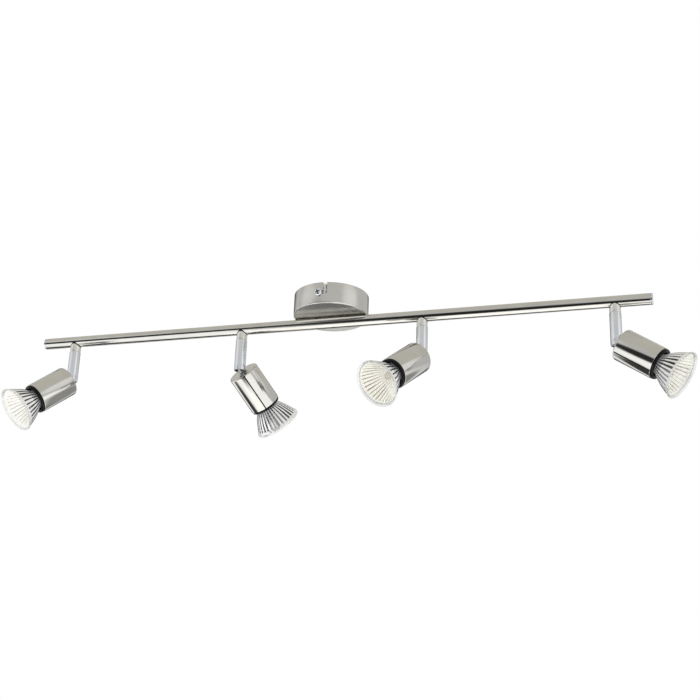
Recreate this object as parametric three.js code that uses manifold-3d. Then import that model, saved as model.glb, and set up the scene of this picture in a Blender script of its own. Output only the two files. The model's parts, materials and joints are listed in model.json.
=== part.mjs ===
// Ceiling spot bar: a straight tube under a round canopy carries four spot heads, each on its own swivel
// arm with a tilt joint, and each holding a reflector lamp with a twist-and-lock base.
// Millimetres, +Z up. The origin is the middle of the ceiling bracket's flat top, which lies on the
// ceiling. The bar runs along X.
import * as THREE from "three";
import { mergeVertices } from "three/addons/utils/BufferGeometryUtils.js";
import Module from "manifold-3d";

const wasm = await Module();
wasm.setup();

// ---------------------------------------------------------------- driving dimensions

const GAP = 0.3; // clearance between two pieces that meet

// Sides of a round piece: the canopy; bar, housings and lamps; arms; screws, pins and rivets.
const LARGE_SIDES = 36;
const MIDDLE_SIDES = 20;
const ARM_SIDES = 16;
const SMALL_SIDES = 10;

// Canopy: a round steel cup, open towards the ceiling, held by two side screws in bayonet slots.
const CANOPY_RADIUS = 40;
const CANOPY_HEIGHT = 23.7;
const CANOPY_WALL = 1.2;
const CANOPY_CORNER = 2;
const BAYONET_TURN = 10.3; // degrees between a slot's upright leg and its screw
const BAYONET_WIDTH = 4.2;
const SCREW_DEPTH = 11.3; // from the ceiling down to a canopy screw

// Ceiling bracket: a flat steel strip with both ends bent down as ears.
const BRACKET_ANGLE = -94; // degrees, direction of the strip's first ear
const BRACKET_WIDTH = 14;
const BRACKET_THICKNESS = 1.5;
const BRACKET_REACH = 37.7; // from the middle to an ear's outer face
const BRACKET_EAR = 17;
const CEILING_SLOT = { from: 23, to: 29, width: 5 };
const EARTH_SCREW_X = 14.5; // along the strip, from the middle

// Pan-head screws with a cross recess.
const SCREW_STEM_RADIUS = 1.9;
const SCREW_HEAD_RADIUS = 4.2;
const SCREW_HEAD_HEIGHT = 2.5;
const SCREW_HEAD_ROUND = 1.4;
const SCREW_POINT_RADIUS = 33.7; // how far from the middle a canopy screw's point stops
const CROSS_HALF_LENGTH = 2.4;
const CROSS_HALF_WIDTH = 0.5;
const CROSS_DEPTH = 1.3;

// Three-pole terminal strip under the bracket.
const POLE_PITCH = 9;
const POLE_DEPTH = 17;
const POLE_HEIGHT = 13;
const SPINE_DEPTH = 6;
const SPINE_HEIGHT = 8;
const WIRE_HOLE_RADIUS = 1.8;
const WIRE_HOLE_DROP = 5;

// Bar: a round steel tube with a cap in each end.
const BAR_RADIUS = 6;
const BAR_WALL = 1;
const BAR_HALF_LENGTH = 336;
const CAP_THICKNESS = 1.6;
const CAP_PLUG = 5;
const CAP_CHAMFER = 0.6;
const BAR_AXIS_Z = -(CANOPY_HEIGHT + GAP + BAR_RADIUS);
const NIPPLE_X = 15; // two hollow nipples join the bar to the canopy, at plus and minus this

// Hollow rivets and nipples that the wires run through, measured from the bar's axis.
const TUBE_STEM_RADIUS = 3.5;
const TUBE_BORE_RADIUS = 2.3;
const TUBE_HOLE_RADIUS = TUBE_STEM_RADIUS + GAP;
const FLANGE_THICKNESS = 1.2;
const INNER_FLANGE_RADIUS = 4; // the flange that lies inside the bar
const INNER_FLANGE_HEIGHT = 1.4;
const RIVET_FLANGE_RADIUS = 4.5;
const NIPPLE_STICK_OUT = 5.5; // above the canopy's floor
const NUT_RADIUS = 6.9; // across its corners
const NUT_HEIGHT = 3.5;

// Swivel arm, measured down from the bar's axis.
const ARM_RADIUS = 6;
const ARM_WALL = 1;
const COLLAR_TOP = 4.3;
const COLLAR_BOTTOM = 12.4;
const ARM_TOP = COLLAR_BOTTOM + GAP;
const ARM_ROOF = 2;
const PIVOT_DROP = 43.7;
const ARM_BOTTOM = PIVOT_DROP + 4;

// Tilt pivot.
const PIN_RADIUS = 1.5;
const TONGUE_THICKNESS = 2;
const TONGUE_HALF_WIDTH = 3.5;
const FOOT_RADIUS = 8;
const FOOT_THICKNESS = 1.5;

// Spot head, measured from the tilt pivot along the head's axis towards the light.
const HOUSING_RADIUS = 16.6;
const HOUSING_WALL = 1;
const HOUSING_BACK = 6.3;
const HOUSING_FRONT = 49.8;
const HOUSING_CORNER = 1.5;
const SLIT_ANGLE = 222; // degrees round the head's axis, where the housing is split
const SLIT_WIDTH = 1.4;
const KEYHOLE_RADIUS = 4.3;
const KEYHOLE_WIDTH = 4.6;
const SLEEVE_FRONT = 52.8;
const SLEEVE_RADIUS = HOUSING_RADIUS - HOUSING_WALL - 0.4;
const SLEEVE_LIP_RADIUS = 16.2;
const SLEEVE_BORE = 13.6;
const SLEEVE_MOUTH = 12.6;
const SLEEVE_BACK_THICKNESS = 1.5;
const SLEEVE_BACK_HOLE = 5;
const SOCKET_RADIUS = 11.8;
const SOCKET_BACK = 13.5;
const SOCKET_FRONT = 28.7;

// Reflector lamp with two studs 10 mm apart that twist into the socket.
const LAMP_RADIUS = 25;
const LAMP_FRONT = 77;
const LAMP_RIM = 2.6; // thickness of the front rim
const LAMP_GLASS = 1.6;
const LAMP_NECK_RADIUS = 10;
const LAMP_NECK_BACK = 36.9;
const LAMP_NECK_BORE = 7;
const LAMP_BOWL_BACK = 51.5;
const LAMP_BOWL_VERTEX = 46.1; // the bowl's outside is the parabola r * r = spread * (distance - vertex)
const LAMP_BOWL_SPREAD = 20.2;
const LAMP_BASE_BACK = 29.2;
const LAMP_BASE_RADIUS = 9.6;
const LAMP_BOSS_LENGTH = 5;
const LAMP_LENS_RADIUS = 23.3;
const LAMP_LENS_SEAT = 0.7; // the ledge behind the lens
const CAPSULE_RADIUS = 4;
const CAPSULE_FRONT = 60;
const STUD_OFFSET = 5;
const STUD_LENGTH = 7;
const STUD_STEM_RADIUS = 1.25;
const STUD_HEAD_RADIUS = 2.4;
const STUD_HEAD_LENGTH = 2.5;
const STUD_CLEARANCE = 0.35; // round a stud
const STUD_PLAY = 1.1; // along a stud
const TWIST = 40; // degrees from locked to free

// The heads from left to right: place along the bar, direction that the head leans to, and lean from
// straight down.
const HEADS = [
  { number: 1, x: -298.5, turn: -132, tilt: 50 },
  { number: 2, x: -100, turn: 61, tilt: 51 },
  { number: 3, x: 100, turn: -125, tilt: 52 },
  { number: 4, x: 298.5, turn: -10, tilt: 55 },
];

// ---------------------------------------------------------------- materials

function finish(color, roughness, metalness) {
  return { color, roughness, metalness };
}

const BRUSHED_NICKEL = finish(0xa8a59a, 0.34, 1);
const POLISHED_CHROME = finish(0xc9ced1, 0.12, 1);
const ZINC_STEEL = finish(0x9a9d9f, 0.42, 1);
const BRASS = finish(0xb79a56, 0.35, 1);
const BLACK_PLASTIC = finish(0x0d0d0e, 0.38, 0);
const WHITE_PLASTIC = finish(0xe8e6df, 0.5, 0);
const CERAMIC = finish(0xe4ddcd, 0.55, 0);
const REFLECTOR_GLASS = finish(0xd6d8d6, 0.1, 0.6);
const LENS_GLASS = finish(0xf4f1e6, 0.06, 0);

// ---------------------------------------------------------------- geometry helpers

const radians = THREE.MathUtils.degToRad;

function toSolid(geometry) {
  const bare = geometry.clone();
  bare.deleteAttribute("normal");
  bare.deleteAttribute("uv");
  const merged = mergeVertices(bare, 1e-4);
  const corners = merged.index.array;
  const kept = [];
  for (let i = 0; i < corners.length; i += 3) {
    const [a, b, c] = corners.slice(i, i + 3);
    if (a !== b && b !== c && c !== a) kept.push(a, b, c);
  }
  return new wasm.Manifold(
    new wasm.Mesh({
      numProp: 3,
      vertProperties: merged.attributes.position.array,
      triVerts: new Uint32Array(kept),
    }),
  );
}

function toGeometry(solid) {
  const mesh = solid.getMesh();
  const geometry = new THREE.BufferGeometry();
  geometry.setAttribute("position", new THREE.BufferAttribute(mesh.vertProperties, mesh.numProp));
  geometry.setIndex(new THREE.BufferAttribute(mesh.triVerts, 1));
  geometry.computeVertexNormals();
  return geometry;
}

function cut(base, ...tools) {
  return toGeometry(tools.reduce((left, tool) => left.subtract(toSolid(tool)), toSolid(base)));
}

function join(first, ...others) {
  return toGeometry(others.reduce((sum, other) => sum.add(toSolid(other)), toSolid(first)));
}

// A solid of revolution round Z. Its profile is a list of [radius, z] that runs from axis to axis, or
// round a ring's section.
function revolve(profile, segments) {
  const points = profile.map(([radius, z]) => new THREE.Vector2(radius, z));
  if (THREE.ShapeUtils.area(points) < 0) points.reverse();
  const first = points[0];
  const last = points[points.length - 1];
  if (first.x > 0 || last.x > 0) points.push(first.clone());
  return new THREE.LatheGeometry(points, segments).rotateX(Math.PI / 2);
}

// The same round a head's axis: the profile is [radius, distance in front of the pivot].
function revolveHead(profile, segments) {
  return revolve(
    profile.map(([radius, distance]) => [radius, -distance]),
    segments,
  );
}

function tubeProfile(outer, inner, low, high) {
  return [
    [inner, low],
    [outer, low],
    [outer, high],
    [inner, high],
  ];
}

// Points of a round corner in a profile, from one angle to the other in degrees.
function corner(centreRadius, centreZ, radius, from, to, steps) {
  const points = [];
  for (let i = 0; i <= steps; i++) {
    const angle = radians(from + ((to - from) * i) / steps);
    points.push([centreRadius + radius * Math.cos(angle), centreZ + radius * Math.sin(angle)]);
  }
  return points;
}

// A rod along Z from one height to another.
function rod(radius, low, high, segments = SMALL_SIDES) {
  return new THREE.CylinderGeometry(radius, radius, high - low, segments)
    .rotateX(Math.PI / 2)
    .translate(0, 0, (low + high) / 2);
}

function block(low, high) {
  const size = high.map((value, i) => value - low[i]);
  return new THREE.BoxGeometry(...size).translate(...low.map((value, i) => value + size[i] / 2));
}

// A flat outline in XY, raised from one height to another.
function prism(shape, low, high, curveSegments = 4) {
  return new THREE.ExtrudeGeometry(shape, {
    depth: high - low,
    bevelEnabled: false,
    curveSegments,
  }).translate(0, 0, low);
}

// A slot with round ends between two points in XY.
function stadium(x0, y0, x1, y1, width) {
  const angle = Math.atan2(y1 - y0, x1 - x0);
  const shape = new THREE.Shape();
  shape.absarc(x1, y1, width / 2, angle - Math.PI / 2, angle + Math.PI / 2, false);
  shape.absarc(x0, y0, width / 2, angle + Math.PI / 2, angle + Math.PI * 1.5, false);
  return shape;
}

function alongX(geometry) {
  return geometry.rotateY(Math.PI / 2);
}

function turned(geometry, degrees) {
  return geometry.clone().rotateZ(radians(degrees));
}

function addPiece(parent, name, geometry, surface) {
  const mesh = new THREE.Mesh(geometry, new THREE.MeshStandardMaterial(surface));
  mesh.name = name;
  parent.add(mesh);
}

// ---------------------------------------------------------------- canopy and ceiling bracket

// The bayonet slot lies in a wall that faces +X: an upright leg from the rim, then a foot that ends at
// the screw.
function bayonetSlot() {
  const offset = CANOPY_RADIUS * Math.sin(radians(BAYONET_TURN / 2));
  const leg = stadium(offset, 2 * BAYONET_WIDTH, offset, -SCREW_DEPTH, BAYONET_WIDTH);
  const foot = stadium(-offset, -SCREW_DEPTH, offset, -SCREW_DEPTH, BAYONET_WIDTH);
  const inside = CANOPY_RADIUS - 4 * CANOPY_WALL;
  const outside = CANOPY_RADIUS + CANOPY_WALL;
  return join(prism(leg, inside, outside), prism(foot, inside, outside))
    .rotateX(Math.PI / 2)
    .rotateZ(Math.PI / 2)
    .rotateZ(radians(BRACKET_ANGLE + BAYONET_TURN / 2));
}

function canopy() {
  const inner = CANOPY_RADIUS - CANOPY_WALL;
  const floor = -CANOPY_HEIGHT + CANOPY_WALL;
  const bend = CANOPY_CORNER - CANOPY_WALL;
  const outerCorner = corner(
    CANOPY_RADIUS - CANOPY_CORNER,
    -CANOPY_HEIGHT + CANOPY_CORNER,
    CANOPY_CORNER,
    -90,
    0,
    2,
  );
  const cup = revolve(
    [
      [0, -CANOPY_HEIGHT],
      ...outerCorner,
      [CANOPY_RADIUS, 0],
      [inner, 0],
      [inner, floor + bend],
      [inner - bend, floor],
      [0, floor],
    ],
    LARGE_SIDES,
  );
  const slot = bayonetSlot();
  const holes = [-1, 1].map((side) =>
    rod(TUBE_HOLE_RADIUS, -CANOPY_HEIGHT - 1, floor + 1).translate(side * NIPPLE_X, 0, 0),
  );
  return cut(cup, slot, turned(slot, 180), ...holes);
}

function ceilingBracket() {
  const half = BRACKET_WIDTH / 2;
  const ends = [-BRACKET_REACH, BRACKET_REACH];
  const strip = block([ends[0], -half, -BRACKET_THICKNESS], [ends[1], half, 0]);
  const ears = ends.map((end) => {
    const inside = end - Math.sign(end) * BRACKET_THICKNESS;
    return block(
      [Math.min(end, inside), -half, -BRACKET_EAR],
      [Math.max(end, inside), half, -BRACKET_THICKNESS / 2],
    );
  });
  const slots = [-1, 1].map((side) =>
    prism(
      stadium(side * CEILING_SLOT.from, 0, side * CEILING_SLOT.to, 0, CEILING_SLOT.width),
      -2 * BRACKET_THICKNESS,
      BRACKET_THICKNESS,
    ),
  );
  const screwHole = alongX(rod(SCREW_STEM_RADIUS + GAP, -CANOPY_RADIUS, CANOPY_RADIUS));
  screwHole.translate(0, 0, -SCREW_DEPTH);
  const earthHole = rod(SCREW_STEM_RADIUS + GAP, -5, 5).translate(EARTH_SCREW_X, 0, 0);
  return cut(join(strip, ...ears), ...slots, screwHole, earthHole).rotateZ(radians(BRACKET_ANGLE));
}

// A pan-head screw along Z: the head's underside is at z = 0, the stem runs down.
function crossHeadScrew(stemLength) {
  const edge = corner(
    SCREW_HEAD_RADIUS - SCREW_HEAD_ROUND,
    SCREW_HEAD_HEIGHT - SCREW_HEAD_ROUND,
    SCREW_HEAD_ROUND,
    0,
    90,
    2,
  );
  const turnedBody = revolve(
    [
      [0, -stemLength],
      [SCREW_STEM_RADIUS, -stemLength],
      [SCREW_STEM_RADIUS, 0],
      [SCREW_HEAD_RADIUS, 0],
      ...edge,
      [0, SCREW_HEAD_HEIGHT],
    ],
    SMALL_SIDES,
  );
  const floor = SCREW_HEAD_HEIGHT - CROSS_DEPTH;
  const top = SCREW_HEAD_HEIGHT + CROSS_DEPTH;
  const recess = [
    [CROSS_HALF_LENGTH, CROSS_HALF_WIDTH],
    [CROSS_HALF_WIDTH, CROSS_HALF_LENGTH],
  ].map(([x, y]) => block([-x, -y, floor], [x, y, top]));
  return cut(turnedBody, ...recess);
}

function canopyScrew() {
  const seat = CANOPY_RADIUS + GAP;
  return alongX(crossHeadScrew(seat - SCREW_POINT_RADIUS)).translate(seat, 0, -SCREW_DEPTH);
}

// Three-pole terminal strip: round-ended poles on a spine, each with a wire hole through it and a screw
// well from below.
function terminalBlock() {
  const top = -BRACKET_THICKNESS - GAP;
  const bottom = top - POLE_HEIGHT;
  const wireZ = top - WIRE_HOLE_DROP;
  const poleWidth = POLE_PITCH - 1;
  const poleEnd = (POLE_DEPTH - poleWidth) / 2;
  const reach = POLE_DEPTH;
  const wireHole = rod(WIRE_HOLE_RADIUS, -reach, reach, 8).rotateX(Math.PI / 2).translate(0, 0, wireZ);
  const screwWell = rod(WIRE_HOLE_RADIUS, bottom - 1, wireZ, 8);
  const pole = prism(stadium(0, -poleEnd, 0, poleEnd, poleWidth), bottom, top, 3);
  const places = [-POLE_PITCH, 0, POLE_PITCH];
  const poles = places.map((x) => pole.clone().translate(x, 0, 0));
  const spine = block(
    [-1.5 * POLE_PITCH, -SPINE_DEPTH / 2, top - SPINE_HEIGHT],
    [1.5 * POLE_PITCH, SPINE_DEPTH / 2, top],
  );
  const bores = places.flatMap((x) =>
    [wireHole, screwWell].map((tool) => tool.clone().translate(x, 0, 0)),
  );
  return cut(join(spine, ...poles), ...bores).rotateZ(radians(BRACKET_ANGLE + 90));
}

function addCeilingParts(group) {
  addPiece(group, "canopy", canopy(), BRUSHED_NICKEL);
  addPiece(group, "ceiling_bracket", ceilingBracket(), ZINC_STEEL);
  addPiece(group, "canopy_screw_front", turned(canopyScrew(), BRACKET_ANGLE), POLISHED_CHROME);
  addPiece(group, "canopy_screw_back", turned(canopyScrew(), BRACKET_ANGLE + 180), POLISHED_CHROME);
  addPiece(group, "terminal_block", terminalBlock(), WHITE_PLASTIC);
  const earthScrew = crossHeadScrew(BRACKET_THICKNESS).rotateX(Math.PI);
  earthScrew.translate(EARTH_SCREW_X, 0, -BRACKET_THICKNESS - GAP);
  addPiece(group, "earth_screw", turned(earthScrew, BRACKET_ANGLE), BRASS);
}

// ---------------------------------------------------------------- bar

function barTube() {
  const inner = BAR_RADIUS - BAR_WALL;
  const half = BAR_HALF_LENGTH - CAP_THICKNESS - GAP;
  const tube = alongX(revolve(tubeProfile(BAR_RADIUS, inner, -half, half), MIDDLE_SIDES));
  const swivelHoles = HEADS.map(({ x }) =>
    rod(TUBE_HOLE_RADIUS, -BAR_RADIUS - 1, -2).translate(x, 0, 0),
  );
  const nippleHoles = [-1, 1].map((side) =>
    rod(TUBE_HOLE_RADIUS, 2, BAR_RADIUS + 1).translate(side * NIPPLE_X, 0, 0),
  );
  return cut(tube, ...swivelHoles, ...nippleHoles);
}

// The right-hand cap: a chamfered disc with a plug that fills the tube's end.
function barCap() {
  const plug = BAR_RADIUS - BAR_WALL - GAP;
  const face = BAR_HALF_LENGTH;
  const seat = face - CAP_THICKNESS;
  const profile = [
    [0, seat - CAP_PLUG],
    [plug, seat - CAP_PLUG],
    [plug, seat],
    [BAR_RADIUS, seat],
    [BAR_RADIUS, face - CAP_CHAMFER],
    [BAR_RADIUS - CAP_CHAMFER, face],
    [0, face],
  ];
  return alongX(revolve(profile, MIDDLE_SIDES));
}

// A hollow stem with a flange at its low end and, where a radius is given, one at its high end.
function flangedStem(low, high, lowFlange, highFlange) {
  const seat = high - FLANGE_THICKNESS;
  const highEnd = highFlange
    ? [
        [TUBE_STEM_RADIUS, seat],
        [highFlange, seat],
        [highFlange, high],
      ]
    : [[TUBE_STEM_RADIUS, high]];
  const profile = [
    [TUBE_BORE_RADIUS, low],
    [lowFlange, low],
    [lowFlange, low + FLANGE_THICKNESS],
    [TUBE_STEM_RADIUS, low + FLANGE_THICKNESS],
    ...highEnd,
    [TUBE_BORE_RADIUS, high],
  ];
  return revolve(profile, SMALL_SIDES);
}

// Hollow nipple from the bar up into the canopy, threaded for its nut at the top.
function barNipple() {
  const top = BAR_RADIUS + GAP + CANOPY_WALL + NIPPLE_STICK_OUT;
  return flangedStem(INNER_FLANGE_HEIGHT, top, INNER_FLANGE_RADIUS);
}

function nippleNut() {
  const low = BAR_RADIUS + GAP + CANOPY_WALL + GAP;
  const high = low + NUT_HEIGHT;
  return cut(rod(NUT_RADIUS, low, high, 6), rod(TUBE_HOLE_RADIUS, low - 1, high + 1));
}

function addBar(group) {
  const bar = new THREE.Group();
  bar.position.z = BAR_AXIS_Z;
  group.add(bar);
  addPiece(bar, "bar_tube", barTube(), BRUSHED_NICKEL);
  addPiece(bar, "bar_cap_right", barCap(), POLISHED_CHROME);
  addPiece(bar, "bar_cap_left", barCap().rotateZ(Math.PI), POLISHED_CHROME);
  [
    ["left", -NIPPLE_X],
    ["right", NIPPLE_X],
  ].forEach(([side, x]) => {
    addPiece(bar, "bar_nipple_" + side, barNipple().translate(x, 0, 0), ZINC_STEEL);
    addPiece(bar, "nipple_nut_" + side, nippleNut().translate(x, 0, 0), BRASS);
  });
}

// ---------------------------------------------------------------- swivel arm

// Fixed collar under the bar, its top cut to the bar's curve.
function swivelCollar() {
  const body = revolve(
    tubeProfile(ARM_RADIUS, TUBE_HOLE_RADIUS, -COLLAR_BOTTOM, -COLLAR_TOP),
    ARM_SIDES,
  );
  return cut(body, alongX(rod(BAR_RADIUS + GAP, -3 * ARM_RADIUS, 3 * ARM_RADIUS, MIDDLE_SIDES)));
}

// Hollow rivet that the arm turns on. It is closed over inside the bar and inside the arm.
function swivelRivet() {
  const low = -(ARM_TOP + ARM_ROOF + GAP + FLANGE_THICKNESS);
  return flangedStem(low, -INNER_FLANGE_HEIGHT, RIVET_FLANGE_RADIUS, INNER_FLANGE_RADIUS);
}

// The arm is a tube with a roof. Its lower end is slotted on the side that the head leans to, and is
// drilled across for the pivot pin.
function armTube() {
  const inner = ARM_RADIUS - ARM_WALL;
  const body = revolve(
    [
      [TUBE_HOLE_RADIUS, -ARM_TOP],
      [ARM_RADIUS, -ARM_TOP],
      [ARM_RADIUS, -ARM_BOTTOM],
      [inner, -ARM_BOTTOM],
      [inner, -ARM_TOP - ARM_ROOF],
      [TUBE_HOLE_RADIUS, -ARM_TOP - ARM_ROOF],
    ],
    ARM_SIDES,
  );
  const half = TONGUE_THICKNESS / 2 + GAP;
  const slot = block(
    [0, -half, -ARM_BOTTOM - 1],
    [ARM_RADIUS + 1, half, -PIVOT_DROP + TONGUE_HALF_WIDTH + GAP],
  );
  const pinHole = rod(PIN_RADIUS + GAP, -ARM_RADIUS - 1, ARM_RADIUS + 1)
    .rotateX(Math.PI / 2)
    .translate(0, 0, -PIVOT_DROP);
  return cut(body, slot, pinHole);
}

function pivotPin() {
  return rod(PIN_RADIUS, -ARM_RADIUS + GAP, ARM_RADIUS - GAP)
    .rotateX(Math.PI / 2)
    .translate(0, 0, -PIVOT_DROP);
}

// ---------------------------------------------------------------- spot head, drawn pointing straight down

// Steel tongue that turns on the pivot pin, with the round foot that carries the lampholder.
function tiltTongue() {
  const footTop = HOUSING_BACK + HOUSING_WALL + 0.5;
  const footBottom = footTop + FOOT_THICKNESS;
  const plateEnd = -(footTop + footBottom) / 2;
  const outline = new THREE.Shape();
  outline.absarc(0, 0, TONGUE_HALF_WIDTH, 0, Math.PI, false);
  outline.lineTo(-TONGUE_HALF_WIDTH, plateEnd);
  outline.lineTo(TONGUE_HALF_WIDTH, plateEnd);
  const half = TONGUE_THICKNESS / 2;
  const plate = prism(outline, -half, half).rotateX(Math.PI / 2);
  const foot = rod(FOOT_RADIUS, -footBottom, -footTop, ARM_SIDES);
  const pinHole = rod(PIN_RADIUS + GAP, -TONGUE_THICKNESS, TONGUE_THICKNESS).rotateX(Math.PI / 2);
  return cut(join(plate, foot), pinHole);
}

// Housing can: its back has a round hole with a keyhole slot to the edge, and the wall is split in
// line with the slot.
function housing() {
  const inner = HOUSING_RADIUS - HOUSING_WALL;
  const roof = HOUSING_BACK + HOUSING_WALL;
  const outerCorner = corner(
    HOUSING_RADIUS - HOUSING_CORNER,
    HOUSING_BACK + HOUSING_CORNER,
    HOUSING_CORNER,
    -90,
    0,
    2,
  );
  const can = revolveHead(
    [
      [0, HOUSING_BACK],
      ...outerCorner,
      [HOUSING_RADIUS, HOUSING_FRONT],
      [inner, HOUSING_FRONT],
      [inner, roof],
      [0, roof],
    ],
    MIDDLE_SIDES,
  );
  const keyhole = rod(KEYHOLE_RADIUS, -roof - 1, -HOUSING_BACK + 1, ARM_SIDES);
  const keyway = block(
    [0, -KEYHOLE_WIDTH / 2, -roof - 0.5],
    [inner - 0.5, KEYHOLE_WIDTH / 2, -HOUSING_BACK + 1],
  );
  const slit = block(
    [inner - 1, -SLIT_WIDTH / 2, -HOUSING_FRONT - 1],
    [HOUSING_RADIUS + 1, SLIT_WIDTH / 2, -HOUSING_BACK + 1],
  );
  return cut(can, keyhole, turned(keyway, SLIT_ANGLE), turned(slit, SLIT_ANGLE));
}

// Black insulating sleeve inside the housing, with a lip that covers the housing's front edge.
function lampholderSleeve() {
  const back = HOUSING_BACK + HOUSING_WALL + 0.5 + FOOT_THICKNESS + 2 * GAP;
  const lipBack = HOUSING_FRONT + GAP;
  return revolveHead(
    [
      [SLEEVE_BACK_HOLE, back],
      [SLEEVE_RADIUS, back],
      [SLEEVE_RADIUS, lipBack],
      [SLEEVE_LIP_RADIUS, lipBack],
      [SLEEVE_LIP_RADIUS, SLEEVE_FRONT - 1],
      [SLEEVE_LIP_RADIUS - 1, SLEEVE_FRONT],
      [SLEEVE_MOUTH, SLEEVE_FRONT],
      [SLEEVE_BORE, lipBack - 0.5],
      [SLEEVE_BORE, back + SLEEVE_BACK_THICKNESS],
      [SLEEVE_BACK_HOLE, back + SLEEVE_BACK_THICKNESS],
    ],
    MIDDLE_SIDES,
  );
}

// The path that a stud sweeps when the lamp twists, as a curved slot of the given half width.
function studSweep(halfWidth) {
  const from = radians(-TWIST);
  const shape = new THREE.Shape();
  shape.absarc(0, 0, STUD_OFFSET + halfWidth, from, 0, false);
  shape.absarc(STUD_OFFSET, 0, halfWidth, 0, Math.PI, false);
  shape.absarc(0, 0, STUD_OFFSET - halfWidth, 0, from, true);
  const endX = STUD_OFFSET * Math.cos(from);
  const endY = STUD_OFFSET * Math.sin(from);
  shape.absarc(endX, endY, halfWidth, from + Math.PI, from + 2 * Math.PI, false);
  return shape;
}

// Ceramic socket: each stud enters by a round hole and turns under a narrower slot.
function lampSocket() {
  const studBack = LAMP_BASE_BACK - STUD_LENGTH;
  const wellBack = studBack - STUD_PLAY;
  const wellFront = studBack + STUD_HEAD_LENGTH + STUD_PLAY;
  const wide = STUD_HEAD_RADIUS + STUD_CLEARANCE;
  const narrow = STUD_STEM_RADIUS + STUD_CLEARANCE;
  const body = rod(SOCKET_RADIUS, -SOCKET_FRONT, -SOCKET_BACK, MIDDLE_SIDES);
  const entryAngle = radians(-TWIST);
  const openings = [0, 180].flatMap((angle) => {
    const well = prism(studSweep(wide), -wellFront, -wellBack, 2);
    const slot = prism(studSweep(narrow), -SOCKET_FRONT - 1, -wellFront + 0.5, 2);
    const entry = rod(wide, -SOCKET_FRONT - 1, -wellFront + 0.5, 8).translate(
      STUD_OFFSET * Math.cos(entryAngle),
      STUD_OFFSET * Math.sin(entryAngle),
      0,
    );
    return [well, slot, entry].map((tool) => turned(tool, angle));
  });
  return cut(body, ...openings);
}

// ---------------------------------------------------------------- lamp, drawn pointing straight down

// Outer radius of the bowl at a distance in front of the pivot.
function reflectorRadius(distance) {
  return Math.sqrt(LAMP_BOWL_SPREAD * (distance - LAMP_BOWL_VERTEX));
}

function lampReflector() {
  const rimBack = LAMP_FRONT - LAMP_RIM;
  const steps = 3;
  const outside = [];
  for (let i = 0; i <= steps; i++) {
    const distance = LAMP_BOWL_BACK + ((rimBack - LAMP_BOWL_BACK) * i * i) / (steps * steps);
    outside.push([reflectorRadius(distance), distance]);
  }
  const inside = outside.map(([radius, distance]) => [radius - LAMP_GLASS, distance]).reverse();
  const seat = LAMP_LENS_RADIUS + GAP;
  return revolveHead(
    [
      [LAMP_NECK_BORE, LAMP_NECK_BACK],
      [LAMP_NECK_RADIUS, LAMP_NECK_BACK],
      ...outside,
      [LAMP_RADIUS, rimBack],
      [LAMP_RADIUS, LAMP_FRONT],
      [seat, LAMP_FRONT],
      [seat, rimBack + LAMP_LENS_SEAT],
      ...inside,
      [LAMP_NECK_RADIUS - LAMP_GLASS, LAMP_NECK_BACK + LAMP_GLASS],
      [LAMP_NECK_BORE, LAMP_NECK_BACK + LAMP_GLASS],
    ],
    MIDDLE_SIDES,
  );
}

function lampLens() {
  const back = LAMP_FRONT - LAMP_RIM + LAMP_LENS_SEAT + GAP;
  const front = LAMP_FRONT - 0.1;
  return revolveHead(
    [
      [0, back],
      [LAMP_LENS_RADIUS, back],
      [LAMP_LENS_RADIUS, front],
      [0, front],
    ],
    MIDDLE_SIDES,
  );
}

// Ceramic base with its two studs, the cemented boss in the reflector's neck, and the quartz capsule.
function lampBase() {
  const boss = LAMP_NECK_BORE - GAP;
  const shoulder = LAMP_NECK_BACK - GAP;
  const bossFront = shoulder + LAMP_BOSS_LENGTH;
  const tip = corner(0, CAPSULE_FRONT - CAPSULE_RADIUS, CAPSULE_RADIUS, 0, 90, 2);
  const body = revolveHead(
    [
      [0, LAMP_BASE_BACK],
      [LAMP_BASE_RADIUS, LAMP_BASE_BACK],
      [LAMP_BASE_RADIUS, shoulder],
      [boss, shoulder],
      [boss, bossFront],
      [CAPSULE_RADIUS, bossFront],
      ...tip,
    ],
    SMALL_SIDES,
  );
  const studEnd = LAMP_BASE_BACK - STUD_LENGTH;
  const studs = [-STUD_OFFSET, STUD_OFFSET].flatMap((x) => [
    rod(STUD_STEM_RADIUS, -LAMP_BASE_BACK - 1, -studEnd - 1, 8).translate(x, 0, 0),
    rod(STUD_HEAD_RADIUS, -studEnd - STUD_HEAD_LENGTH, -studEnd, 8).translate(x, 0, 0),
  ]);
  return join(body, ...studs);
}

// ---------------------------------------------------------------- assembly

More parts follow.
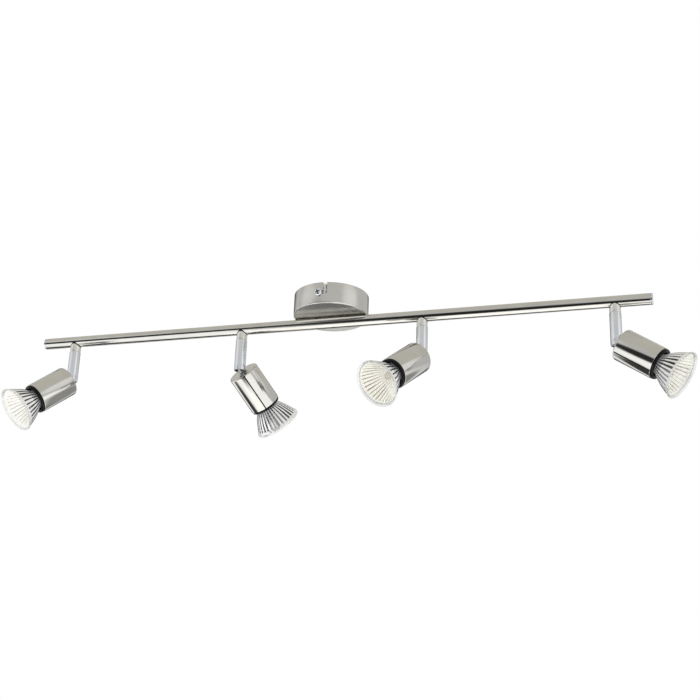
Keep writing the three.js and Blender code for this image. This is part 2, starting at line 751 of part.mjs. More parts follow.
function addHead(group, { number, x, turn, tilt }) {
  const swivel = new THREE.Group();
  swivel.position.set(x, 0, BAR_AXIS_Z);
  swivel.rotation.z = radians(turn);
  group.add(swivel);
  addPiece(swivel, "swivel_rivet_" + number, swivelRivet(), ZINC_STEEL);
  addPiece(swivel, "arm_tube_" + number, armTube(), POLISHED_CHROME);
  addPiece(swivel, "pivot_pin_" + number, pivotPin(), ZINC_STEEL);

  // The collar doesn't turn with the arm: its saddle stays in line with the bar.
  const collar = new THREE.Group();
  collar.position.set(x, 0, BAR_AXIS_Z);
  group.add(collar);
  addPiece(collar, "swivel_collar_" + number, swivelCollar(), BRUSHED_NICKEL);

  const head = new THREE.Group();
  head.position.z = -PIVOT_DROP;
  head.rotation.y = -radians(tilt);
  swivel.add(head);
  addPiece(head, "tilt_tongue_" + number, tiltTongue(), ZINC_STEEL);
  addPiece(head, "housing_" + number, housing(), BRUSHED_NICKEL);
  addPiece(head, "lampholder_sleeve_" + number, lampholderSleeve(), BLACK_PLASTIC);
  addPiece(head, "lamp_socket_" + number, lampSocket(), CERAMIC);
  addPiece(head, "lamp_reflector_" + number, lampReflector(), REFLECTOR_GLASS);
  addPiece(head, "lamp_lens_" + number, lampLens(), LENS_GLASS);
  addPiece(head, "lamp_base_" + number, lampBase(), CERAMIC);
}

const fixture = new THREE.Group();
addCeilingParts(fixture);
addBar(fixture);
HEADS.forEach((head) => addHead(fixture, head));

export default fixture;
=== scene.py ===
"""Looks for a ceiling spot bar: fine meshes, materials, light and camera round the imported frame.

Lengths are in millimetres and are scaled to metres where a mesh is made. A head's own frame has its
origin on the tilt pivot and its Z pointing back along the head's axis, so a point that lies a distance
in front of the pivot has z = -distance.
"""
import json
import math

import bmesh
import bpy
from mathutils import Matrix, Vector


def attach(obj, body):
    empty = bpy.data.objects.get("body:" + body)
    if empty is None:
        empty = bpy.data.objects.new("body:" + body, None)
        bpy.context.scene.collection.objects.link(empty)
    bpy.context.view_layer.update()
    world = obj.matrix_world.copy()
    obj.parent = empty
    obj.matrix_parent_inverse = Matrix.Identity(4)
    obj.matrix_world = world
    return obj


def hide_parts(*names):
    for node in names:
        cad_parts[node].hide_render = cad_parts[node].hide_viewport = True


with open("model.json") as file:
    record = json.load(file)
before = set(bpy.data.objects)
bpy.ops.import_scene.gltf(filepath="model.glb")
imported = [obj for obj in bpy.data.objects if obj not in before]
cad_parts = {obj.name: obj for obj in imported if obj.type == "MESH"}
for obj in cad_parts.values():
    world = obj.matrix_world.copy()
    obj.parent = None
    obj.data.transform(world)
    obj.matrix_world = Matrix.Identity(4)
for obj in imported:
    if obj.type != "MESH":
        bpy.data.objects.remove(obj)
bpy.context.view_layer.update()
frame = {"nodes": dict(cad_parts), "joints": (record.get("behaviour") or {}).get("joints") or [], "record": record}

MM = 0.001

# ---------------------------------------------------------------- camera, in degrees and millimetres

CAMERA_AZIMUTH = 16.12
CAMERA_ELEVATION = -21.38
CAMERA_ROLL = 2.05
CAMERA_DISTANCE = 1400.85
CAMERA_RIGHT = 21.66
CAMERA_UP = -55.99
CAMERA_LENS = 66.95
SENSOR_WIDTH = 36.0

# ---------------------------------------------------------------- sizes, in millimetres

CANOPY_RADIUS = 40.0
CANOPY_HEIGHT = 23.7
CANOPY_WALL = 1.2
CANOPY_CORNER = 1.2
BAYONET_TURN = 10.3
BAYONET_WIDTH = 4.2
SCREW_ANGLE = -94.0
SCREW_DEPTH = 11.3
SCREW_HOLE_RADIUS = 2.2
SIDE_SCREW_STEM = 6.6
CLEARANCE = 0.3

# Ceiling bracket, and the three-pole terminal block under it.
BRACKET_WIDTH = 14.0
BRACKET_THICKNESS = 1.5
BRACKET_REACH = 37.7
BRACKET_EAR = 17.0
BRACKET_BEND = 2.2
CEILING_SLOT = (23.0, 29.0)
CEILING_SLOT_HALF = 2.5
EARTH_SCREW_X = 14.5
POLE_PITCH = 9.0
POLE_RADIUS = 4.0
POLE_REACH = 8.5
POLE_TOP = -1.8
POLE_BOTTOM = -14.8
SPINE_HALF = 3.0
SPINE_TOP = -1.9
SPINE_BOTTOM = -9.8
WIRE_HOLE_RADIUS = 1.8
WIRE_HOLE_Z = -6.8

BAR_RADIUS = 6.0
BAR_WALL = 1.0
BAR_HALF_LENGTH = 336.0
BAR_AXIS_Z = -30.0
CAP_THICKNESS = 1.6
CAP_PLUG_RADIUS = 4.7
CAP_PLUG_LENGTH = 5.0
NIPPLE_X = 15.0
NIPPLE_BOTTOM = 1.4
NIPPLE_TOP = 13.0
NIPPLE_RADIUS = 3.5
NIPPLE_BORE = 2.3
NIPPLE_FLANGE = 4.0
THREAD_PITCH = 0.75
NUT_BOTTOM = 7.8
NUT_HEIGHT = 3.5
NUT_RADIUS = 6.9
NUT_BORE = 3.8
NUT_TURN = 30.0

ARM_RADIUS = 6.0
ARM_WALL = 1.0
ARM_TOP = 12.7
ARM_BOTTOM = 47.7
ARM_SLOT_HALF = 1.3
ARM_SLOT_TOP = 39.9
COLLAR_BOTTOM = 12.5
COLLAR_RADIUS = 5.7
COLLAR_BORE = 3.8
SHADE_RING_THICKNESS = 0.9
PIVOT_DROP = 43.7
PIN_RADIUS = 1.5
PIN_HALF_LENGTH = 5.8
TONGUE_HALF_WIDTH = 3.5
TONGUE_REACH = 8.6
FOOT_RADIUS = 8.0
FOOT_BACK = 7.8
FOOT_FRONT = 9.3

HOUSING_RADIUS = 16.6
HOUSING_WALL = 1.0
HOUSING_BACK = 6.3
HOUSING_FRONT = 49.8
HOUSING_CORNER = 1.5
SLIT_ANGLE = 222.0
SLIT_HALF = 0.7
KEYHOLE_RADIUS = 4.3
KEYWAY_HALF = 2.3
KEYWAY_REACH = 15.0
SLEEVE_BACK = 9.9
SLEEVE_RADIUS = 15.2
SLEEVE_LIP_RADIUS = 16.2
SLEEVE_LIP_BACK = 50.1
SLEEVE_FRONT = 52.8
SLEEVE_BORE = 13.6
SLEEVE_MOUTH = 12.6
SLEEVE_HOLE_RADIUS = 5.0
SLEEVE_FLOOR = 1.5

LAMP_RADIUS = 25.0
LAMP_FRONT = 77.0
LAMP_RIM = 2.6
LAMP_GLASS = 1.6
LAMP_NECK_RADIUS = 10.0
LAMP_NECK_BACK = 36.9
LAMP_NECK_BORE = 7.0
BOWL_BACK = 51.5
BOWL_VERTEX = 46.1
BOWL_SPREAD = 20.2
LENS_RADIUS = 23.3
LAMP_BASE_BACK = 29.2
LAMP_BASE_RADIUS = 9.6
LAMP_SPIGOT_RADIUS = 6.7
LAMP_SPIGOT_LENGTH = 5.0
STUD_X = 5.0
STUD_SHANK_RADIUS = 1.25
STUD_HEAD_RADIUS = 2.4
CAPSULE_RADIUS = 4.0
CAPSULE_FRONT = 60.0

FINE_SIDES = 96
SMALL_SIDES = 48
CANOPY_SIDES = 160
OUTER_RIBS = 30
INNER_RIBS = 32
RIB_HEIGHT = 0.45
STEP_PITCH = 2.9
FLUTE_DEPTH = 0.25

HEAD_NUMBERS = (1, 2, 3, 4)
OWN_FRAME = "own_frame"
joints = {joint["name"]: joint for joint in frame["joints"]}

# ---------------------------------------------------------------- materials


def math_node(tree, operation, *values):
    node = tree.nodes.new("ShaderNodeMath")
    node.operation = operation
    for socket, value in zip(node.inputs, values):
        if isinstance(value, (int, float)):
            socket.default_value = value
        else:
            tree.links.new(value, socket)
    return node.outputs["Value"]


def ease(tree, value, start, end, low_value=0.0, high_value=1.0):
    """A smooth step from one value to another as a node's value runs from start to end."""
    node = tree.nodes.new("ShaderNodeMapRange")
    node.interpolation_type = "SMOOTHSTEP"
    node.inputs["From Min"].default_value = start
    node.inputs["From Max"].default_value = end
    node.inputs["To Min"].default_value = low_value
    node.inputs["To Max"].default_value = high_value
    tree.links.new(value, node.inputs["Value"])
    return node.outputs["Result"]


def new_material(name, own_frame=True):
    """A material with its shader, and the coordinates that its pattern is laid in.

    own_frame takes the frame that a made piece was shaped in; without it they are the object's own.
    """
    material = bpy.data.materials.new(name)
    material.use_nodes = True
    tree = material.node_tree
    shader = tree.nodes["Principled BSDF"]
    if own_frame:
        attribute = tree.nodes.new("ShaderNodeAttribute")
        attribute.attribute_name = OWN_FRAME
        return material, tree, shader, attribute.outputs["Vector"]
    coordinates = tree.nodes.new("ShaderNodeTexCoord")
    return material, tree, shader, coordinates.outputs["Object"]


def noise(tree, coordinates, scale, detail=4.0, roughness=0.6):
    """Noise that repeats scale[i] times per metre along each axis."""
    mapping = tree.nodes.new("ShaderNodeMapping")
    mapping.inputs["Scale"].default_value = scale
    texture = tree.nodes.new("ShaderNodeTexNoise")
    texture.inputs["Scale"].default_value = 1.0
    texture.inputs["Detail"].default_value = detail
    texture.inputs["Roughness"].default_value = roughness
    tree.links.new(coordinates, mapping.inputs["Vector"])
    tree.links.new(mapping.outputs["Vector"], texture.inputs["Vector"])
    return texture.outputs["Fac"]


def spread(tree, factor, socket, low, high):
    """Drives a socket between two values by a noise factor."""
    span = tree.nodes.new("ShaderNodeMapRange")
    span.inputs["From Min"].default_value = 0.25
    span.inputs["From Max"].default_value = 0.75
    span.inputs["To Min"].default_value = low
    span.inputs["To Max"].default_value = high
    tree.links.new(factor, span.inputs["Value"])
    tree.links.new(span.outputs["Result"], socket)


def tint(tree, factor, socket, dark, light):
    """Drives a colour socket between two colours by a noise factor."""
    ramp = tree.nodes.new("ShaderNodeValToRGB")
    ramp.color_ramp.elements[0].position = 0.25
    ramp.color_ramp.elements[0].color = (*dark, 1.0)
    ramp.color_ramp.elements[1].position = 0.75
    ramp.color_ramp.elements[1].color = (*light, 1.0)
    tree.links.new(factor, ramp.inputs["Fac"])
    tree.links.new(ramp.outputs["Color"], socket)


def bump(tree, factor, shader, height_mm, strength=1.0):
    node = tree.nodes.new("ShaderNodeBump")
    node.inputs["Strength"].default_value = strength
    node.inputs["Distance"].default_value = height_mm * MM
    tree.links.new(factor, node.inputs["Height"])
    tree.links.new(node.outputs["Normal"], shader.inputs["Normal"])


def brushed_metal(name, dark, light, roughness, scale, height_mm=0.004, own_frame=True):
    """Metal with fine brush lines: the noise is short along one axis and long along the others."""
    material, tree, shader, coordinates = new_material(name, own_frame)
    shader.inputs["Metallic"].default_value = 1.0
    lines = noise(tree, coordinates, scale)
    clouds = noise(tree, coordinates, (60.0, 60.0, 60.0), detail=2.0)
    tint(tree, clouds, shader.inputs["Base Color"], dark, light)
    spread(tree, lines, shader.inputs["Roughness"], *roughness)
    bump(tree, lines, shader, height_mm)
    return material


def smooth_metal(name, dark, light, roughness):
    """Plated metal with faint smudges."""
    material, tree, shader, coordinates = new_material(name)
    shader.inputs["Metallic"].default_value = 1.0
    smudges = noise(tree, coordinates, (220.0, 220.0, 220.0))
    tint(tree, smudges, shader.inputs["Base Color"], dark, light)
    spread(tree, smudges, shader.inputs["Roughness"], *roughness)
    return material


def moulded(name, dark, light, roughness, grain_mm, specular=0.5):
    """Moulded plastic or pressed ceramic with a fine grain."""
    material, tree, shader, coordinates = new_material(name, own_frame=False)
    shader.inputs["Specular IOR Level"].default_value = specular
    grain = noise(tree, coordinates, (1500.0, 1500.0, 1500.0), detail=3.0)
    clouds = noise(tree, coordinates, (120.0, 120.0, 120.0), detail=2.0)
    tint(tree, clouds, shader.inputs["Base Color"], dark, light)
    spread(tree, clouds, shader.inputs["Roughness"], *roughness)
    bump(tree, grain, shader, grain_mm)
    return material


def thin_glass(name, dark, light, gloss):
    """A thin wall of glass: light goes straight through it, and its face mirrors a little."""
    material, tree, shader, coordinates = new_material(name)
    smudges = noise(tree, coordinates, (160.0, 160.0, 160.0), detail=1.0)
    clear = tree.nodes.new("ShaderNodeBsdfTransparent")
    tint(tree, smudges, clear.inputs["Color"], dark, light)
    shader.inputs["Base Color"].default_value = (1.0, 1.0, 1.0, 1.0)
    shader.inputs["Metallic"].default_value = 1.0
    spread(tree, smudges, shader.inputs["Roughness"], 0.01, 0.04)
    edge = tree.nodes.new("ShaderNodeLayerWeight")
    edge.inputs["Blend"].default_value = 0.25
    mirror = math_node(tree, "MULTIPLY_ADD", edge.outputs["Fresnel"], 0.35, gloss)
    blend = tree.nodes.new("ShaderNodeMixShader")
    tree.links.new(mirror, blend.inputs["Fac"])
    tree.links.new(clear.outputs["BSDF"], blend.inputs[1])
    tree.links.new(shader.outputs["BSDF"], blend.inputs[2])
    tree.links.new(blend.outputs["Shader"], tree.nodes["Material Output"].inputs["Surface"])
    return material


def ribs(tree, coordinates, count, threshold, soft, uneven):
    """1 in the grooves between the ribs of a bowl and 0 on the ribs, with the height along Z.

    The grooves are wider in some places than in others; uneven says how much.
    """
    split = tree.nodes.new("ShaderNodeSeparateXYZ")
    tree.links.new(coordinates, split.inputs["Vector"])
    angle = math_node(tree, "ARCTAN2", split.outputs["Y"], split.outputs["X"])
    turn = math_node(tree, "FRACT", math_node(tree, "MULTIPLY", angle, count / math.tau))
    off_centre = math_node(tree, "ABSOLUTE", math_node(tree, "SUBTRACT", turn, 0.5))
    away = math_node(tree, "MULTIPLY", off_centre, 2.0)
    drift = math_node(tree, "SUBTRACT", noise(tree, coordinates, (75.0, 75.0, 20.0), detail=1.0), 0.5)
    away = math_node(tree, "ADD", away, math_node(tree, "MULTIPLY", drift, uneven))
    return ease(tree, away, threshold - soft, threshold + soft), split.outputs["Z"]


# A faint glow that stands in for light scattered inside the lamp's ribbed glass.
OUTER_GLOW = 0.12
INNER_GLOW = 0.5


def silvered_back():
    """The silvered outside of the bowl: bright ribs and dark grooves, with faint steps across them, and a faint
    painted glow.
    """
    material, tree, shader, coordinates = new_material("silvered_glass_back")
    groove, height = ribs(tree, coordinates, OUTER_RIBS, threshold=0.54, soft=0.1, uneven=1.0)
    step = math_node(tree, "FRACT", math_node(tree, "MULTIPLY", height, 1 / (STEP_PITCH * MM)))
    gap = ease(tree, math_node(tree, "ABSOLUTE", math_node(tree, "SUBTRACT", step, 0.5)), 0.26, 0.4)
    stepped = ease(tree, noise(tree, coordinates, (55.0, 55.0, 55.0), detail=1.0), 0.5, 0.6, 0.0, 0.55)
    solid = math_node(tree, "SUBTRACT", 1.0, math_node(tree, "MULTIPLY", gap, stepped))
    rim = (LAMP_RIM - LAMP_FRONT) * MM
    before_rim = ease(tree, height, rim + 0.6 * MM, rim + 2.6 * MM)
    depth = ease(tree, noise(tree, coordinates, (32.0, 32.0, 32.0), detail=0.0), 0.4, 0.54, 0.6, 1.0)
    dark = math_node(tree, "MULTIPLY", math_node(tree, "MULTIPLY", groove, solid), before_rim)
    dark = math_node(tree, "MULTIPLY", dark, depth)
    colours = tree.nodes.new("ShaderNodeMix")
    colours.data_type = "RGBA"
    colours.inputs["A"].default_value = (0.9, 0.905, 0.905, 1.0)
    colours.inputs["B"].default_value = (0.012, 0.012, 0.013, 1.0)
    tree.links.new(dark, colours.inputs["Factor"])
    tree.links.new(colours.outputs["Result"], shader.inputs["Base Color"])
    tree.links.new(colours.outputs["Result"], shader.inputs["Emission Color"])
    shader.inputs["Emission Strength"].default_value = OUTER_GLOW
    shader.inputs["Metallic"].default_value = 0.4
    spread(tree, noise(tree, coordinates, (220.0, 220.0, 220.0)), shader.inputs["Roughness"], 0.04, 0.1)
    return material


def bright_bowl():
    """The bright inside of the bowl, cream coloured, with thin tan lines between its flutes; it glows with painted
    light, though the lamp is not lit.
    """
    material, tree, shader, coordinates = new_material("bright_bowl")
    groove, height = ribs(tree, coordinates, INNER_RIBS, threshold=0.8, soft=0.14, uneven=0.7)
    rim = (LAMP_RIM - LAMP_FRONT) * MM
    before_rim = ease(tree, height, rim + 0.5 * MM, rim + 3.0 * MM)
    colours = tree.nodes.new("ShaderNodeMix")
    colours.data_type = "RGBA"
    colours.inputs["A"].default_value = (0.78, 0.765, 0.715, 1.0)
    colours.inputs["B"].default_value = (0.16, 0.12, 0.08, 1.0)
    tree.links.new(math_node(tree, "MULTIPLY", groove, before_rim), colours.inputs["Factor"])
    tree.links.new(colours.outputs["Result"], shader.inputs["Base Color"])
    tree.links.new(colours.outputs["Result"], shader.inputs["Emission Color"])
    shader.inputs["Emission Strength"].default_value = INNER_GLOW
    shader.inputs["Metallic"].default_value = 0.15
    spread(tree, noise(tree, coordinates, (220.0, 220.0, 220.0)), shader.inputs["Roughness"], 0.22, 0.32)
    return material


NICKEL_DARK = (0.62, 0.61, 0.575)
NICKEL_LIGHT = (0.69, 0.685, 0.65)
NICKEL = brushed_metal(
    "brushed_nickel", NICKEL_DARK, NICKEL_LIGHT, (0.06, 0.14), (90.0, 90.0, 5200.0)
)
NICKEL_WALL = brushed_metal(
    "brushed_nickel_wall", NICKEL_DARK, NICKEL_LIGHT, (0.16, 0.26), (90.0, 90.0, 5200.0)
)
NICKEL_DISC = brushed_metal(
    "brushed_nickel_disc", (0.7, 0.69, 0.65), (0.78, 0.77, 0.73), (0.24, 0.38), (45.0, 5200.0, 45.0)
)
NICKEL_LUG = brushed_metal(
    "satin_nickel", (0.8, 0.79, 0.73), (0.88, 0.87, 0.81), (0.2, 0.32), (90.0, 90.0, 5200.0)
)
CHROME = smooth_metal("polished_chrome", (0.74, 0.765, 0.8), (0.82, 0.84, 0.865), (0.05, 0.12))
ZINC = brushed_metal(
    "zinc_plated_steel", (0.66, 0.67, 0.68), (0.8, 0.81, 0.81), (0.3, 0.45), (700.0, 700.0, 700.0),
    own_frame=False,
)
# Painted light: a lighter copy of zinc plate, so that the bracket seen through the canopy's slots looks lit.
LIT_ZINC = brushed_metal(
    "zinc_painted_light", (0.86, 0.87, 0.88), (0.95, 0.95, 0.95), (0.35, 0.5), (500.0, 500.0, 500.0),
    own_frame=False,
)
# Painted shade: a near-black copy of zinc plate, for the insides of screw recesses and for the threaded nipples in
# the gap between bar and canopy.
SHADED_ZINC = brushed_metal(
    "zinc_painted_shade", (0.07, 0.07, 0.065), (0.13, 0.13, 0.12), (0.4, 0.55), (700.0, 700.0, 700.0),
    own_frame=False,
)
BRASS = brushed_metal(
    "plain_brass", (0.58, 0.43, 0.2), (0.72, 0.56, 0.29), (0.25, 0.42), (900.0, 900.0, 900.0),
    own_frame=False,
)
BLACK = moulded(
    "black_phenolic", (0.006, 0.006, 0.007), (0.012, 0.012, 0.013), (0.12, 0.24), 0.002,
    specular=0.12,
)
WHITE = moulded("white_nylon", (0.78, 0.77, 0.72), (0.86, 0.85, 0.8), (0.35, 0.5), 0.01)
CERAMIC = moulded("steatite_ceramic", (0.72, 0.67, 0.57), (0.83, 0.79, 0.7), (0.45, 0.65), 0.02)
SILVERED_BACK = silvered_back()
BRIGHT_BOWL = bright_bowl()
GLASS = thin_glass("clear_glass", (0.96, 0.97, 0.965), (0.99, 0.99, 0.985), gloss=0.02)
QUARTZ = thin_glass("quartz_capsule", (0.8, 0.73, 0.62), (0.9, 0.86, 0.78), gloss=0.08)
RIM_GLASS = thin_glass("rim_glass", (0.92, 0.93, 0.925), (0.97, 0.975, 0.97), gloss=0.08)

# ---------------------------------------------------------------- mesh helpers


def rounded(points, steps=4):
    """A closed profile with round corners: a point (radius, height, fillet) becomes an arc."""
    profile = []
    for i, point in enumerate(points):
        here = Vector(point[:2])
        if len(point) == 2:
            profile.append(tuple(here))
            continue
        before = (Vector(points[i - 1][:2]) - here).normalized()
        after = (Vector(points[(i + 1) % len(points)][:2]) - here).normalized()
        half = before.angle(after) / 2
        centre = here + (before + after).normalized() * (point[2] / math.sin(half))
        start = here + before * (point[2] / math.tan(half)) - centre
        sweep = math.pi - 2 * half
        turn = -1 if before.x * after.y - before.y * after.x > 0 else 1
        for step in range(steps + 1):
            angle = turn * sweep * step / steps
            spin = Matrix.Rotation(angle, 2)
            profile.append(tuple(centre + spin @ start))
    return profile


def revolve(profile, sides=FINE_SIDES, slit=None):
    """A bmesh of a closed profile of (radius, height) turned round Z, in metres.

    slit(radius, height) is half the width of a gap that faces +X.
    """
    mesh = bmesh.new()
    rings = []
    for radius, height in profile:
        if radius < 1e-6:
            rings.append([mesh.verts.new((0, 0, height * MM))])
            continue
        if slit:
            start = math.asin(slit(radius, height) / radius)
            angles = [start + (math.tau - 2 * start) * i / sides for i in range(sides + 1)]
        else:
            angles = [math.tau * i / sides for i in range(sides)]
        ring = [(radius * math.cos(a), radius * math.sin(a), height) for a in angles]
        rings.append([mesh.verts.new(Vector(point) * MM) for point in ring])
    pairs = list(zip(rings, rings[1:]))
    if len(rings[0]) > 1 or len(rings[-1]) > 1:
        pairs.append((rings[-1], rings[0]))
    for low, high in pairs:
        for i in range(sides):
            j = i + 1 if slit else (i + 1) % sides
            corners = [low[i % len(low)], low[j % len(low)], high[j % len(high)], high[i % len(high)]]
            mesh.faces.new(list(dict.fromkeys(corners)))
    if slit:
        mesh.faces.new([ring[0] for ring in rings])
        mesh.faces.new([ring[-1] for ring in reversed(rings)])
    return mesh


def forward(profile):
    """Turns (radius, distance in front of the pivot) into (radius, height)."""
    return [(radius, -distance, *rest) for radius, distance, *rest in profile]


def rod(radius, low, high, place=None):
    """A round bar along Z, from one height to another, or moved to a place."""
    mesh = revolve([(0, low), (radius, low), (radius, high), (0, high)], sides=SMALL_SIDES)
    bmesh.ops.transform(mesh, matrix=place or Matrix.Identity(4), verts=mesh.verts)
    return mesh


def block(low, high):
    mesh = bmesh.new()
    bmesh.ops.create_cube(mesh, size=1.0)
    size = Vector(high) - Vector(low)
    middle = (Vector(high) + Vector(low)) / 2
    for vertex in mesh.verts:
        vertex.co = (Vector(vertex.co) * size + middle) * MM
    return mesh


def extrude(outline, low, high):
    """A flat outline of (x, y) points raised from one height to another."""
    mesh = bmesh.new()
    bottom = [mesh.verts.new((x * MM, y * MM, low * MM)) for x, y in outline]
    face = mesh.faces.new(bottom)
    made = bmesh.ops.extrude_face_region(mesh, geom=[face])
    top = [item for item in made["geom"] if isinstance(item, bmesh.types.BMVert)]
    bmesh.ops.translate(mesh, verts=top, vec=(0, 0, (high - low) * MM))
    return mesh


def arc(x, y, radius, start, end, steps):
    """Points on an arc, from one angle to the other in degrees."""
    angles = [math.radians(start + (end - start) * i / steps) for i in range(steps + 1)]
    return [(x + radius * math.cos(a), y + radius * math.sin(a)) for a in angles]


def put(name, mesh, material, place=None):
    """Makes an object of a bmesh, at a place given by a matrix."""
    bmesh.ops.recalc_face_normals(mesh, faces=mesh.faces)
    data = bpy.data.meshes.new(name)
    mesh.to_mesh(data)
    mesh.free()
    piece = bpy.data.objects.new(name, data)
    bpy.context.scene.collection.objects.link(piece)
    piece.matrix_world = place or Matrix.Identity(4)
    if material:
        data.materials.append(material)
    return piece


def settle(piece):
    """Turns a piece's modifiers into mesh, without the slivers they leave."""
    graph = bpy.context.evaluated_depsgraph_get()
    data = bpy.data.meshes.new_from_object(piece.evaluated_get(graph))
    piece.modifiers.clear()
    mesh = bmesh.new()
    mesh.from_mesh(data)
    bmesh.ops.remove_doubles(mesh, verts=mesh.verts, dist=0.001 * MM)
    bmesh.ops.dissolve_degenerate(mesh, edges=mesh.edges, dist=0.0001 * MM)
    mesh.to_mesh(data)
    mesh.free()
    piece.data = data


def carve(piece, *cutters):
    """Cuts solids out of a piece. Each cutter is a bmesh in the piece's own frame."""
    made = [put("cutter", cutter, None, piece.matrix_world) for cutter in cutters]
    for cutter in made:
        modifier = piece.modifiers.new("cut", "BOOLEAN")
        modifier.operation = "DIFFERENCE"
        modifier.solver = "EXACT"
        modifier.object = cutter
    settle(piece)
    for cutter in made:
        bpy.data.objects.remove(cutter)


def soften(piece, width_mm, angle=40.0, segments=2):
    """Breaks a piece's sharp edges."""
    modifier = piece.modifiers.new("soft edges", "BEVEL")
    modifier.width = width_mm * MM
    modifier.segments = segments
    modifier.limit_method = "ANGLE"
    modifier.angle_limit = math.radians(angle)
    settle(piece)


def finish_piece(piece, body, slot, *nodes, smooth_angle=38.0):
    """Smooths the shading, ties the piece to its body and hides the CAD nodes it stands for; the slot argument is
    not used.
    """
    place = piece.matrix_world.copy()
    shaped = piece.data.attributes.new(OWN_FRAME, "FLOAT_VECTOR", "POINT")
    shaped.data.foreach_set("vector", [number for vertex in piece.data.vertices for number in vertex.co])
    piece.data.transform(place)
    piece.matrix_world = Matrix.Identity(4)
    piece.data.shade_smooth()
    piece.data.set_sharp_from_angle(angle=math.radians(smooth_angle))
    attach(piece, body)
    if nodes:
        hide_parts(*nodes)
    return piece


# ---------------------------------------------------------------- places


def moved(x, y, z):
    return Matrix.Translation(Vector((x, y, z)) * MM)


def turned(degrees, axis="Z"):
    return Matrix.Rotation(math.radians(degrees), 4, axis)


def axes(x_axis, y_axis, z_axis, origin):
    """A place whose axes and origin are given, the origin in metres."""
    place = Matrix((x_axis, y_axis, z_axis)).transposed().to_4x4()
    place.translation = origin
    return place


def head_place(number):
    """The head's own frame: Z back along its axis, X on the side that it leans to."""
    hinge = Vector(joints[f"tilt_{number}"]["axis"])
    back = -Vector(joints[f"lamp_twist_{number}"]["axis"])
    across = -hinge
    pivot = Vector(joints[f"tilt_{number}"]["pos_m"])
    return axes(across.cross(back), across, back, pivot)


def arm_place(number):
    """The arm's own frame: origin on the bar's axis, X on the side that the head leans to."""
    across = -Vector(joints[f"tilt_{number}"]["axis"])
    up = Vector((0, 0, 1))
    return axes(across.cross(up), across, up, Vector(joints[f"swivel_{number}"]["pos_m"]))


# ---------------------------------------------------------------- canopy


def bayonet_cutters():
    """The bayonet slot in a wall that faces +X: an upright leg from the rim and a foot to the screw."""
    offset = CANOPY_RADIUS * math.sin(math.radians(BAYONET_TURN / 2))
    half = BAYONET_WIDTH / 2
    outline = [(offset + half, 5.0)]
    outline += [(offset - half, 5.0)]
    outline += [(offset - half, -SCREW_DEPTH + half)]
    outline += arc(-offset, -SCREW_DEPTH, half, 90, 270, 12)
    outline += arc(offset, -SCREW_DEPTH, half, -90, 0, 8)
    place = turned(BAYONET_TURN / 2) @ turned(90) @ turned(90, "X")
    slot = extrude(outline, CANOPY_RADIUS - 5, CANOPY_RADIUS + 3)
    bmesh.ops.transform(slot, matrix=place, verts=slot.verts)
    other = slot.copy()
    bmesh.ops.transform(other, matrix=turned(180), verts=other.verts)
    return slot, other


def make_canopy():
    inner = CANOPY_RADIUS - CANOPY_WALL
    floor = -CANOPY_HEIGHT + CANOPY_WALL
    cup = revolve(
        rounded([
            (0, -CANOPY_HEIGHT),
            (CANOPY_RADIUS, -CANOPY_HEIGHT, CANOPY_CORNER),
            (CANOPY_RADIUS, 0, 0.4),
            (inner, 0, 0.4),
            (inner, floor, 0.5),
            (0, floor),
        ]),
        sides=CANOPY_SIDES,
    )
    piece = put("canopy_shell", cup, NICKEL_WALL, turned(SCREW_ANGLE))
    carve(piece, *bayonet_cutters())
    piece.data.materials.clear()
    piece.data.materials.append(NICKEL_WALL)
    piece.data.materials.append(NICKEL_DISC)
    for face in piece.data.polygons:
        face.material_index = 1 if abs(face.normal.z) > 0.9 and face.center.z < -5 * MM else 0
    finish_piece(piece, "fixture", "nickel", "canopy")


def screw_mesh(stem_length):
    """A pan-head screw before its recess is cut: the head's underside is at z = 0, the stem runs down."""
    stem, head, height = 1.9, 4.2, 2.5
    return revolve(
        rounded([
            (0, -stem_length),
            (stem, -stem_length, 0.4),
            (stem, 0),
            (head, 0, 0.3),
            (head, height, 1.5),
            (0, height),
        ]),
        sides=SMALL_SIDES,
    )


def cross_cutters():
    """The two bars of a screw's cross recess."""
    arm, narrow, floor, top = 2.6, 0.6, 0.5, 4.0
    along = block((-arm, -narrow, floor), (arm, narrow, top))
    across = block((-narrow, -arm, floor), (narrow, arm, top))
    return along, across


def cross_head_screw(name, stem_length, material, place):
    """A screw with a cross recess, whose inside is painted near-black as shade."""
    piece = put(name, screw_mesh(stem_length), material, place)
    carve(piece, *cross_cutters())
    soften(piece, 0.08)
    piece.data.materials.clear()
    piece.data.materials.append(material)
    piece.data.materials.append(SHADED_ZINC)
    # Painted shade: faces deep in the cross recess take the near-black zinc.
    for face in piece.data.polygons:
        recess_shade = face.center.to_2d().length < 2.6 * MM and 0.3 * MM < face.center.z < 1.9 * MM
        face.material_index = 1 if recess_shade else 0
    return piece


def make_canopy_screws():
    seat = CANOPY_RADIUS + CLEARANCE
    for side, name in ((0, "front"), (180, "back")):
        place = turned(SCREW_ANGLE + side) @ moved(seat, 0, -SCREW_DEPTH) @ turned(90, "Y") @ turned(20)
        piece = cross_head_screw(f"side_screw_{name}", SIDE_SCREW_STEM, CHROME, place)
        finish_piece(piece, "fixture", "chrome", f"canopy_screw_{name}")


# ---------------------------------------------------------------- ceiling bracket and terminal block


